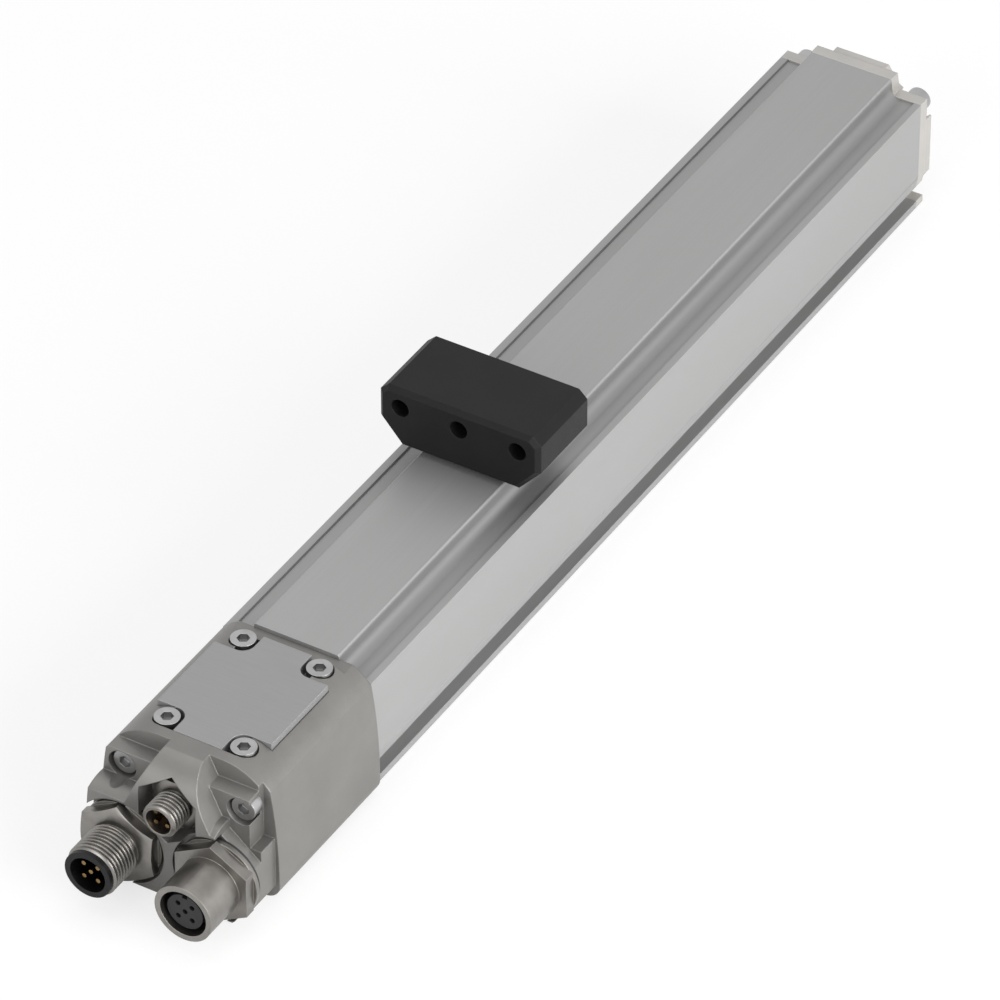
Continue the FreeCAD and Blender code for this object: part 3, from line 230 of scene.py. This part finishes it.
across = profile_finish.node("ShaderNodeSeparateXYZ")
profile_finish.feed(across.inputs[0], profile_finish.place)
height = across.outputs["Z"]
to_the_right = profile_finish.math("MULTIPLY", across.outputs["Y"], -1.0)
# mask of the painted shade: where the platform's wall shadows the groove
groove_shade_mask = profile_finish.math("GREATER_THAN", to_the_right, GROOVE_FROM)
limits = (profile_finish.span(to_the_right, 0.6, 0.05, FADE_FROM, FADE_TO),
          profile_finish.span(height, 1.0, 0.0, TOP_FROM, TOP_TO),
          profile_finish.span(height, 0.0, 1.0, FLOOR_FROM, FLOOR_TO),
          profile_finish.span(to_the_right, 1.0, 0.0, SIDE_FROM, SIDE_TO))
for limit in limits:
    groove_shade_mask = profile_finish.math("MULTIPLY", groove_shade_mask, limit)

# painted shade: a dark grey mixed into the groove where the platform's shadow falls
painted_groove_shade = profile_finish.blend(groove_shade_mask, toned, grey(118))
profile_finish.colour_edged(painted_groove_shade, edge_mask, 0.2, grey(178))
profile_finish.rough(profile_finish.span(die_lines, 0.42, 0.48))
profile_finish.relief(die_lines, 0.000003, 0.5, soft_normal)
wear(profile_finish, "profile_housing")
print("platform top at", round(platform_top / MM, 2), "mm")

# %% [markdown]
# Blasted casting
#
# The head and the end cap are cast, blasted with fine beads and coated in a warm grey. Blasting leaves a
# skin of tiny dents, much finer than a millimetre, and handling polishes the edges a little brighter.


# %% Finish of the castings
def casting_finish(name, dark, light):
    """A blasted and coated casting, cloudy between two greys."""
    finish = Finish(name, metallic=0.55)
    dents = finish.noise(3200, detail=2)
    patches = finish.noise(90)
    normal, mask = finish.edges(0.00035)
    base = finish.blend(finish.span(patches, 0, 1), grey(dark, 0.035), grey(light, 0.035))
    speckled = finish.blend(finish.span(dents, 0, 0.22), base, grey(light + 12, 0.03))
    finish.colour_edged(speckled, mask, 0.35, grey(light + 26, 0.02))
    finish.rough(finish.span(dents, 0.36, 0.46))
    finish.relief(dents, 0.000018, 0.5, normal)
    return finish


wear(casting_finish("head_casting", 110, 119), "connector_head")
wear(casting_finish("cap_casting", 166, 175), "end_cap")
print("castings dressed")

# %% [markdown]
# Machined cover
#
# The cover plate is milled flat and anodised a cooler grey than the head. The cutter leaves fine lines
# across it, so the noise is stretched along Y.

# %% Finish of the cover plate
cover_finish = Finish("anodised_plate", metallic=0.5)
milling = cover_finish.noise(2200, stretch=(1, 0.05, 1))
soft_normal, edge_mask = cover_finish.edges(0.0002)
plate = cover_finish.blend(cover_finish.span(milling, 0, 1), grey(138), grey(142))
cover_finish.colour_edged(plate, edge_mask, 0.5, grey(186))
cover_finish.rough(cover_finish.span(milling, 0.38, 0.46))
cover_finish.relief(milling, 0.000004, 0.5, soft_normal)
wear(cover_finish, "cover_plate")
print("cover dressed")

# %% [markdown]
# Screws, nickel and other bright metals
#
# The screws are plain stainless steel. The connectors are brass under nickel, which is warmer and shinier
# than steel. Gold and brass have a colour of their own, so they get two tints in the place of a grey.


# %% Finishes of the metal parts
def bright_metal(name, smooth, coarse, grain, edge, grey_level=None, warm=0.0, tints=None):
    """A machined metal: fine turning marks, a smooth shine, and a grey with bright edges or two tints."""
    finish = Finish(name, metallic=1.0)
    marks = finish.noise(grain, stretch=(1, 0.2, 0.2))
    normal, mask = finish.edges(edge)
    if tints:
        scale, dark, light = tints
        finish.colour(finish.blend(finish.span(finish.noise(scale), 0, 1), dark, light))
    else:
        stains = finish.span(finish.noise(240, detail=2), 0, 1)
        base = finish.blend(stains, grey(grey_level, warm), grey(grey_level - 14, warm))
        finish.colour_edged(base, mask, 0.5, grey(grey_level + 18, warm))
    finish.rough(finish.span(marks, smooth, coarse))
    finish.relief(marks, 0.000002, 0.3, normal)
    return finish


nickel = bright_metal("nickel_plating", 0.32, 0.40, 2600, 0.0002, 136, 0.045)
steel = bright_metal("stainless_steel", 0.28, 0.36, 1500, 0.00012, 170)
gold = bright_metal("gold_plating", 0.16, 0.26, 3000, 0.00005,
                    tints=(900, (0.20, 0.125, 0.05, 1), (0.27, 0.18, 0.085, 1)))
brass = bright_metal("turned_brass", 0.24, 0.36, 2600, 0.0001,
                     tints=(700, (0.62, 0.44, 0.17, 1), (0.70, 0.52, 0.24, 1)))
drawn_wire = bright_metal("drawn_alloy", 0.25, 0.38, 4000, 0.00005, 196, 0.02)
sintered = bright_metal("sintered_magnet", 0.42, 0.6, 2400, 0.0001, 96, 0.01)

wear(nickel, "socket_shell", "plug_shell", "small_shell")
wear(steel, "cover_screws", "head_screws", "end_cap_screws", "end_cap_washers", "board_screws")
wear(gold, "plug_pins", "socket_contacts", "small_pins")
wear(brass, "board_standoffs", "waveguide_clamp")
wear(drawn_wire, "waveguide_wire")
wear(sintered, "bias_magnet", "magnet_blocks")
print("metals dressed")

# %% [markdown]
# Threaded connector bodies
#
# On the real sensor the two connectors with pins are turned from hexagonal brass bar: a shank that goes
# into the casting, a collar, a hexagon for the spanner and a cut thread. A thread could be painted on with a
# bump, but its teeth show on the outline, so it is made as a shape. The bodies are made in millimetres and
# shrunk to metres when they are done, because Boolean cuts are more exact on shapes that aren't tiny.

# %% Helpers that select, clean and combine
QUARTER_TURN = math.radians(90)
MERGE_DISTANCE = 0.001


def alone(thing):
    """Select one object and nothing else."""
    bpy.ops.object.select_all(action="DESELECT")
    thing.select_set(True)
    bpy.context.view_layer.objects.active = thing


def edit_all(thing):
    """Open one object in edit mode with all of it selected."""
    alone(thing)
    bpy.ops.object.mode_set(mode="EDIT")
    bpy.ops.mesh.select_all(action="SELECT")


def cleaned(thing):
    """Merge doubles and turn all faces outwards."""
    edit_all(thing)
    bpy.ops.mesh.remove_doubles(threshold=MERGE_DISTANCE)
    bpy.ops.mesh.normals_make_consistent(inside=False)
    bpy.ops.object.mode_set(mode="OBJECT")
    return thing


def combine(piece, other, operation):
    """Apply a Boolean of one closed shape on another, and remove the second."""
    alone(piece)
    modifier = piece.modifiers.new("combine", "BOOLEAN")
    modifier.operation = operation
    modifier.solver = "EXACT"
    modifier.object = other
    bpy.ops.object.modifier_apply(modifier=modifier.name)
    bpy.data.objects.remove(other, do_unlink=True)
    return piece


# %% [markdown]
# Turning on a lathe
#
# A turned core is round everywhere, so it grows from one ring of edges: the ring is extruded along X and
# resized, step by step, and comes back to its start, so that the skin is closed. The hexagon is a six-sided
# cylinder. Its corners are turned off as on a real nut, by a round limit with sloping shoulders. Shapes that
# meet in a Boolean are given rings that start at different angles, so that no two edges lie on each other.

# %% Helpers for turned and hexagonal parts
def turned(name, axis, steps, start=0.0):
    """Turn a closed outline of (x, radius) steps round an axis through (y, z), from a start angle."""
    x, radius = steps[0]
    bpy.ops.object.select_all(action="DESELECT")
    bpy.ops.mesh.primitive_circle_add(vertices=96, radius=radius, location=(x, *axis),
                                      rotation=(0, QUARTER_TURN, 0))
    made = bpy.context.object
    made.name = name
    bpy.ops.object.transform_apply(location=True, rotation=True, scale=True)
    edit_all(made)
    bpy.ops.transform.rotate(value=math.radians(start), orient_axis="X", center_override=(x, *axis))
    for next_x, next_radius in steps[1:] + steps[:1]:
        bpy.ops.mesh.extrude_region_move(TRANSFORM_OT_translate={"value": (next_x - x, 0, 0)})
        factor = next_radius / radius
        bpy.ops.transform.resize(value=(1, factor, factor), center_override=(next_x, *axis))
        x, radius = next_x, next_radius
    bpy.ops.object.mode_set(mode="OBJECT")
    return cleaned(made)


def spanner_hexagon(axis, across, low, high, turn, bore):
    """A hexagonal ring whose corners are turned off at both faces, between two places along X."""
    corner = across / math.sqrt(3)
    bpy.ops.object.select_all(action="DESELECT")
    bpy.ops.mesh.primitive_cylinder_add(vertices=6, radius=corner, depth=high - low,
                                        location=((low + high) / 2, *axis),
                                        rotation=(0, QUARTER_TURN, 0))
    nut = bpy.context.object
    bpy.ops.object.transform_apply(location=True, rotation=True, scale=True)
    edit_all(nut)
    bpy.ops.transform.rotate(value=math.radians(turn), orient_axis="X", center_override=(low, *axis))
    bpy.ops.object.mode_set(mode="OBJECT")
    face = across / 2 * 0.985
    slope = (corner - face) * math.tan(math.radians(30))
    over = corner + 0.2
    limit = turned("limit", axis, [(low - 0.1, bore), (low - 0.1, face - 0.17),
                                   (low + slope, corner + 0.02), (high - slope, over),
                                   (high + 0.1, over), (high + 0.1, bore)], start=0.7)
    return combine(cleaned(nut), limit, "INTERSECT")


# %% [markdown]
# The thread itself
#
# A thread is one tooth section carried round the axis and forward at the same time, which is just what the
# Screw modifier does. The section is a small triangle with a flat crest, and its base lies a little inside
# the core, so that the two overlap. The helix is made longer than the thread and cut to its length by a
# turned limit, whose bevel gives the lead-in that a nut needs to start.

# %% Helper for a thread
THREAD_SINK = 0.2
CREST_HALF_WIDTH, BASE_HALF_WIDTH = 0.07, 0.44


def thread_ridge(axis, root, crest, pitch, low, high, lead_in):
    """A helical ridge between two places along X, cut to its length."""
    base = root - THREAD_SINK
    tooth = [(-BASE_HALF_WIDTH, base), (-CREST_HALF_WIDTH, crest),
             (CREST_HALF_WIDTH, crest), (BASE_HALF_WIDTH, base)]
    bpy.ops.object.select_all(action="DESELECT")
    bpy.ops.mesh.primitive_plane_add(size=pitch, location=(low, 0, 0))
    ridge = bpy.context.object
    bpy.ops.object.transform_apply(location=True, rotation=True, scale=True)
    for index, (along, height) in zip((0, 2, 3, 1), tooth):
        ridge.data.vertices[index].co = (low - pitch + along * pitch, height, 0)
    screw = ridge.modifiers.new("helix", "SCREW")
    screw.axis = "X"
    screw.screw_offset = pitch
    screw.iterations = math.ceil((high - low) / pitch) + 2
    screw.steps = screw.render_steps = 64
    bpy.ops.object.modifier_apply(modifier=screw.name)
    edit_all(ridge)
    bpy.ops.transform.translate(value=(0, *axis))
    bpy.ops.transform.rotate(value=math.radians(1.37), orient_axis="X", center_override=(low, *axis))
    bpy.ops.mesh.select_all(action="DESELECT")
    bpy.ops.mesh.select_non_manifold()
    bpy.ops.mesh.fill_holes(sides=4)
    bpy.ops.object.mode_set(mode="OBJECT")
    over = crest + 0.2
    limit = turned("limit", axis, [(low, base - 0.1), (low, crest - lead_in),
                                   (low + lead_in + 0.2, over), (high, over),
                                   (high, base - 0.1)], start=2.1)
    return combine(cleaned(ridge), limit, "INTERSECT")


# %% [markdown]
# Put the two bodies together
#
# Each body is joined from its turned core, its hexagon and its thread by Boolean unions, so that one closed
# skin is left. The sizes are those of the plain solids that the bodies replace: a 12 mm and an 8 mm thread,
# both with a pitch of 1 mm. The places along X are counted from the tip of each connector.

# %% Make the threaded bodies
def threaded_body(name, node, steps, hexagon, thread):
    """Build a connector body in the place of a plain solid of the model."""
    low, high = (Vector(corner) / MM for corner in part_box(node))
    tip = low.x
    axis = ((low.y + high.y) / 2, (low.z + high.z) / 2)
    body = turned(name, axis, [(tip + x, radius) for x, radius in steps])
    root, crest, pitch, length, lead_in = thread
    combine(body, thread_ridge(axis, root, crest, pitch, tip, tip + length, lead_in), "UNION")
    across, start, end, turn, bore = hexagon
    combine(body, spanner_hexagon(axis, across, tip + start, tip + end, turn, bore), "UNION")
    edit_all(body)
    bpy.ops.transform.resize(value=(MM, MM, MM), center_override=(0, 0, 0))
    bpy.ops.object.mode_set(mode="OBJECT")
    bpy.ops.object.shade_smooth_by_angle(angle=math.radians(32))
    body.data.materials.clear()
    body.data.materials.append(nickel.material)
    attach(body, "sensor")
    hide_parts(node)
    print(name, "faces:", len(body.data.polygons), "tip at x", round(tip, 2), "mm")


threaded_body("plug_body", "plug_shell",
              steps=[(0, 4.9), (0, 5.1), (0.4, 5.4), (11.8, 5.4), (11.8, 9.35), (12.8, 9.35),
                     (12.8, 5.48), (22.0, 5.48), (22.0, 4.9)],
              hexagon=(17.0, 9.2, 11.9, 30, 5.2), thread=(5.4, 6.0, 1.0, 8.2, 0.5))
threaded_body("small_plug_body", "small_shell",
              steps=[(0, 2.95), (0, 3.15), (0.3, 3.42), (7.2, 3.42), (7.2, 4.28), (14.0, 4.28),
                     (14.0, 2.95)],
              hexagon=(11.0, 6.4, 8.1, 0, 3.2), thread=(3.42, 4.0, 1.0, 5.9, 0.4))

# %% [markdown]
# Moulded plastic and rubber
#
# Moulded parts copy the skin of their mould, a fine even grain. Black plastic is never quite black: it is
# a dark grey whose shine comes from its roughness. Rubber is duller and a little dusty.


# %% Finishes of the moulded parts
def moulded(name, dark, light, smooth, coarse, grain, depth, edge=0.0002, warm=0.0, gloss=0.5):
    """A moulded skin: a fine grain over two greys, with worn edges."""
    finish = Finish(name, Specular_IOR_Level=gloss)
    skin = finish.noise(grain, detail=4)
    flow = finish.noise(120, detail=2)
    normal, mask = finish.edges(edge)
    base = finish.blend(finish.span(flow, 0, 1), grey(dark, warm), grey(light, warm))
    grained = finish.blend(finish.span(skin, 0, 0.5), base, grey(light + 8, warm))
    finish.colour_edged(grained, mask, 0.3, grey(light + 28, warm))
    finish.rough(finish.span(skin, smooth, coarse))
    finish.relief(skin, depth, 0.6, normal)
    return finish


FINE = 0.000006
SMALL_EDGE = 0.0001
wear(moulded("magnet_plastic", 16, 22, 0.46, 0.56, 2600, FINE, 0.0003, gloss=0.2), "magnet_housing")
wear(moulded("lid_plastic", 16, 22, 0.5, 0.6, 2600, FINE, gloss=0.2), "magnet_lid")
wear(moulded("collar_plastic", 8, 14, 0.35, 0.5, 3600, FINE, SMALL_EDGE, gloss=0.25), "plug_insert")
wear(moulded("insert_plastic", 30, 38, 0.4, 0.5, 3600, FINE, SMALL_EDGE, gloss=0.25), "socket_insert")
wear(moulded("seal_rubber", 34, 46, 0.6, 0.8, 3000, 0.00001, SMALL_EDGE),
     "head_seal", "cover_seal", "end_cap_seal", "large_seal_rings", "small_seal_ring")
wear(moulded("damper_rubber", 84, 98, 0.6, 0.8, 2400, 0.00002), "damping_element")
wear(moulded("carrier_plastic", 96, 110, 0.45, 0.6, 2600, 0.00001), "waveguide_carrier")
wear(moulded("header_plastic", 36, 44, 0.4, 0.55, 3000, FINE, SMALL_EDGE), "board_header")
wear(moulded("chip_plastic", 40, 54, 0.45, 0.6, 3600, FINE, SMALL_EDGE), "board_components")
wear(moulded("bobbin_plastic", 214, 224, 0.4, 0.5, 2600, FINE, SMALL_EDGE, 0.02),
     "coil_bobbin", "waveguide_tube")

amber = Finish("amber_insert")
haze = amber.noise(900)
amber.colour(amber.blend(amber.span(haze, 0, 1), (0.17, 0.10, 0.04, 1), (0.27, 0.17, 0.075, 1)))
amber.rough(amber.span(haze, 0.25, 0.4))
amber.relief(haze, 0.00001, 0.5)
wear(amber, "small_insert")
print("moulded parts dressed")

# %% [markdown]
# Windings and circuit boards
#
# These stay inside the housing, but they show when the model is taken apart. A Wave texture along X draws
# the turns of the coil. On the boards, a coarse Voronoi pattern stands for the fields of copper that lie
# under the green lacquer.

# %% Finishes of the electronics
copper = Finish("enamelled_copper", metallic=0.9)
windings = copper.node("ShaderNodeTexWave", wave_type="BANDS", bands_direction="X")
copper.feed(windings.inputs["Vector"], copper.place)
windings.inputs["Scale"].default_value = 1600
copper.colour(copper.blend(windings.outputs["Fac"], (0.30, 0.11, 0.05, 1), (0.62, 0.28, 0.14, 1)))
copper.rough(copper.span(copper.noise(1200), 0.25, 0.4))
copper.relief(windings.outputs["Fac"], 0.00003, 0.7)
wear(copper, "pickup_coil", "return_wire")

lacquer = Finish("board_lacquer")
fields = lacquer.node("ShaderNodeTexVoronoi", distance="CHEBYCHEV")
lacquer.feed(fields.inputs["Vector"], lacquer.place)
fields.inputs["Scale"].default_value = 420
tracks = lacquer.span(fields.outputs["Distance"], 0, 1, 0.35, 0.45)
lacquer.colour(lacquer.blend(tracks, (0.012, 0.10, 0.045, 1), (0.03, 0.19, 0.08, 1)))
lacquer.rough(lacquer.span(lacquer.noise(800), 0.28, 0.42))
lacquer.relief(tracks, 0.00002, 0.5)
wear(lacquer, "connector_board", "main_board")
print("finishes:", len(bpy.data.materials))

# %% [markdown]
# Soft boxes
#
# A product picture is lit by large soft boxes. The strongest stands to the right of the camera and lights
# the side of the profile, a second one lights the face with the connectors, and a broad one hangs overhead.


# %% Hang the lights
def soft_box(name, place, size, power):
    """A rectangular area light that looks at the middle of the sensor."""
    data = bpy.data.lights.new(name, "AREA")
    data.shape = "RECTANGLE"
    data.size, data.size_y = size
    data.energy = power
    lamp = bpy.data.objects.new(name, data)
    lamp.location = place
    lamp.rotation_euler = (-Vector(place)).to_track_quat("-Z", "Y").to_euler()
    bpy.context.scene.collection.objects.link(lamp)
    print(name, "at", place, "with", power, "W")


soft_box("side_box", (-0.25, -1.3, 0.45), (1.4, 0.9), 27)
soft_box("front_box", (-1.4, 0.1, 0.6), (0.9, 0.9), 7)
soft_box("top_box", (0.1, 0.2, 1.5), (1.2, 1.2), 5)

# %% [markdown]
# White surroundings
#
# The world is plain white to the camera, to reflections and through glass, and half as strong as a light,
# so that it fills the shadows without making them vanish.

# %% Paint the world
WORLD_AS_LIGHT = 0.5
WORLD_AS_SEEN = 1.0

world = bpy.data.worlds.new("studio")
bpy.context.scene.world = world
world.use_nodes = True
tree = world.node_tree


def larger(first, second):
    """The larger of two values in the world's node tree."""
    made = tree.nodes.new("ShaderNodeMath")
    made.operation = "MAXIMUM"
    tree.links.new(first, made.inputs[0])
    tree.links.new(second, made.inputs[1])
    return made.outputs[0]


rays = tree.nodes.new("ShaderNodeLightPath").outputs
seen = larger(larger(rays["Is Camera Ray"], rays["Is Transmission Ray"]), rays["Is Glossy Ray"])
strength = tree.nodes.new("ShaderNodeMapRange")
tree.links.new(seen, strength.inputs["Value"])
strength.inputs["To Min"].default_value = WORLD_AS_LIGHT
strength.inputs["To Max"].default_value = WORLD_AS_SEEN
background = tree.nodes["Background"]
background.inputs["Color"].default_value = (1, 1, 1, 1)
tree.links.new(strength.outputs["Result"], background.inputs["Strength"])
print("world strength as light:", WORLD_AS_LIGHT)

# %% [markdown]
# White floor
#
# The floor is matt and nearly white. It also glows a little, but only for the camera, so that it looks as
# white as the surroundings and still shows the soft shadow under the sensor.

# %% Lay the floor
FLOOR_GLOW = 0.72

bpy.ops.mesh.primitive_plane_add(size=8, location=(0, 0, -0.0002))
floor = bpy.context.object
floor.name = "studio_floor"
paper = Finish("studio_floor", Roughness=0.9)
paper.colour((0.94, 0.94, 0.94, 1))
from_camera = paper.node("ShaderNodeLightPath").outputs["Is Camera Ray"]
mixed = paper.node("ShaderNodeMixShader")
paper.feed(mixed.inputs[0], paper.math("MULTIPLY", from_camera, FLOOR_GLOW))
paper.feed(mixed.inputs[1], paper.shader.outputs[0])
paper.feed(mixed.inputs[2], paper.node("ShaderNodeEmission").outputs[0])
paper.feed(paper.tree.nodes["Material Output"].inputs["Surface"], mixed.outputs[0])
floor.data.materials.append(paper.material)
print("floor laid")
